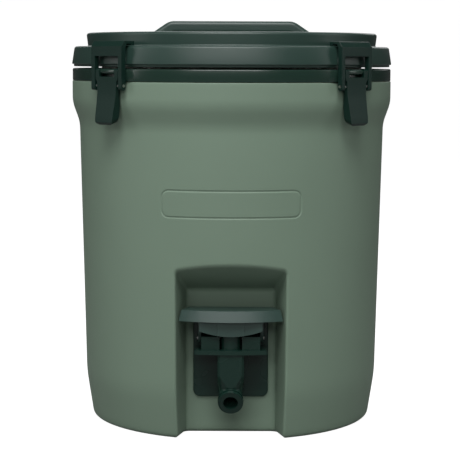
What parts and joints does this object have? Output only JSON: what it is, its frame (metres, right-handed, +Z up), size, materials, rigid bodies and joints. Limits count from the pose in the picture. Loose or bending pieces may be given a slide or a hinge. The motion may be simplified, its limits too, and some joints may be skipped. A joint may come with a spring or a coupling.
{
  "type": "insulated water jug",
  "caption": "Insulated drinks jug with a latched lift-off lid, a fixed carry handle across the lid and a push-lever spigot in a front recess.",
  "frame": {"origin": "centre of the base on the plane that it stands on, on the jug's axis", "axes": "+Z up, -Y towards the spigot side, +X to the right of someone facing the spigot"},
  "size_m": [0.2896, 0.2896, 0.359],
  "materials": {
    "sage_shell": "fine matte moulded texture, sage green",
    "liner": "smooth off-white food-safe liner",
    "foam": "rigid closed-cell insulating foam",
    "collar": "glossy dark green moulding",
    "lid_green": "satin dark green moulding",
    "latch_green": "satin dark green moulding",
    "spigot_green": "satin dark green moulding",
    "seal": "soft silicone seal",
    "steel": "stainless steel"
  },
  "bodies": {
    "jug": {"outer_shell": "sage_shell", "body_foam": "foam", "inner_liner": "liner", "foam_fill_plug": "sage_shell", "collar_ring": "collar", "spigot_body": "spigot_green", "spigot_escutcheon": "spigot_green", "spigot_outer_gasket": "seal", "spigot_inner_gasket": "seal", "spigot_nut": "spigot_green", "paddle_pivot_pin": "steel", "stem_o_ring": "seal", "return_spring": "steel", "latch_hinge_pin_front_left": "steel", "latch_hinge_pin_front_right": "steel", "latch_hinge_pin_rear_right": "steel", "latch_hinge_pin_rear_left": "steel"},
    "lid": {"lid_top": "lid_green", "lid_plug": "liner", "lid_foam": "foam", "lid_gasket": "seal", "carry_handle": "lid_green", "handle_screws": "steel"},
    "paddle": {"spigot_paddle": "spigot_green"},
    "valve": {"valve_stem": "spigot_green", "valve_seal": "seal"},
    "lever_front_left": {"latch_lever_front_left": "latch_green", "latch_link_pin_front_left": "steel"},
    "link_front_left": {"latch_link_front_left": "latch_green"},
    "lever_front_right": {"latch_lever_front_right": "latch_green", "latch_link_pin_front_right": "steel"},
    "link_front_right": {"latch_link_front_right": "latch_green"},
    "lever_rear_right": {"latch_lever_rear_right": "latch_green", "latch_link_pin_rear_right": "steel"},
    "link_rear_right": {"latch_link_rear_right": "latch_green"},
    "lever_rear_left": {"latch_lever_rear_left": "latch_green", "latch_link_pin_rear_left": "steel"},
    "link_rear_left": {"latch_link_rear_left": "latch_green"}
  },
  "joints": [
    {"name": "lid_lift", "type": "slide", "parent": "jug", "child": "lid", "axis": [0, 0, 1], "range_m": [0, 0.024]},
    {"name": "paddle_press", "type": "hinge", "parent": "jug", "child": "paddle", "pos_m": [0, -0.1, 0.085], "axis": [1, 0, 0], "range_deg": [0, 14], "stiffness_Nm_per_rad": 0.8, "springref_deg": -5.73},
    {"name": "valve_drop", "type": "slide", "parent": "jug", "child": "valve", "axis": [0, 0, -1], "range_m": [0, 0.0036], "deforming": ["return_spring"]},
    {"name": "latch_open_front_left", "type": "hinge", "parent": "jug", "child": "lever_front_left", "pos_m": [-0.1043, -0.1043, 0.3143], "axis": [-0.7071, 0.7071, 0], "range_deg": [0, 60]},
    {"name": "link_swing_front_left", "type": "hinge", "parent": "lever_front_left", "child": "link_front_left", "pos_m": [-0.10479, -0.10479, 0.3022], "axis": [0.7071, -0.7071, 0], "range_deg": [0, 160]},
    {"name": "latch_open_front_right", "type": "hinge", "parent": "jug", "child": "lever_front_right", "pos_m": [0.1043, -0.1043, 0.3143], "axis": [-0.7071, -0.7071, 0], "range_deg": [0, 60]},
    {"name": "link_swing_front_right", "type": "hinge", "parent": "lever_front_right", "child": "link_front_right", "pos_m": [0.10479, -0.10479, 0.3022], "axis": [0.7071, 0.7071, 0], "range_deg": [0, 160]},
    {"name": "latch_open_rear_right", "type": "hinge", "parent": "jug", "child": "lever_rear_right", "pos_m": [0.1043, 0.1043, 0.3143], "axis": [0.7071, -0.7071, 0], "range_deg": [0, 60]},
    {"name": "link_swing_rear_right", "type": "hinge", "parent": "lever_rear_right", "child": "link_rear_right", "pos_m": [0.10479, 0.10479, 0.3022], "axis": [-0.7071, 0.7071, 0], "range_deg": [0, 160]},
    {"name": "latch_open_rear_left", "type": "hinge", "parent": "jug", "child": "lever_rear_left", "pos_m": [-0.1043, 0.1043, 0.3143], "axis": [0.7071, 0.7071, 0], "range_deg": [0, 60]},
    {"name": "link_swing_rear_left", "type": "hinge", "parent": "lever_rear_left", "child": "link_rear_left", "pos_m": [-0.10479, 0.10479, 0.3022], "axis": [-0.7071, -0.7071, 0], "range_deg": [0, 160]}
  ],
  "couplings": [
    {"joint": "valve_drop", "follows": "paddle_press", "m_per_rad": 0.0147},
    {"joint": "latch_open_front_left", "follows": "lid_lift", "rad_per_m": 43.6},
    {"joint": "link_swing_front_left", "follows": "lid_lift", "rad_per_m": 116.3},
    {"joint": "latch_open_front_right", "follows": "lid_lift", "rad_per_m": 43.6},
    {"joint": "link_swing_front_right", "follows": "lid_lift", "rad_per_m": 116.3},
    {"joint": "latch_open_rear_right", "follows": "lid_lift", "rad_per_m": 43.6},
    {"joint": "link_swing_rear_right", "follows": "lid_lift", "rad_per_m": 116.3},
    {"joint": "latch_open_rear_left", "follows": "lid_lift", "rad_per_m": 43.6},
    {"joint": "link_swing_rear_left", "follows": "lid_lift", "rad_per_m": 116.3}
  ]
}
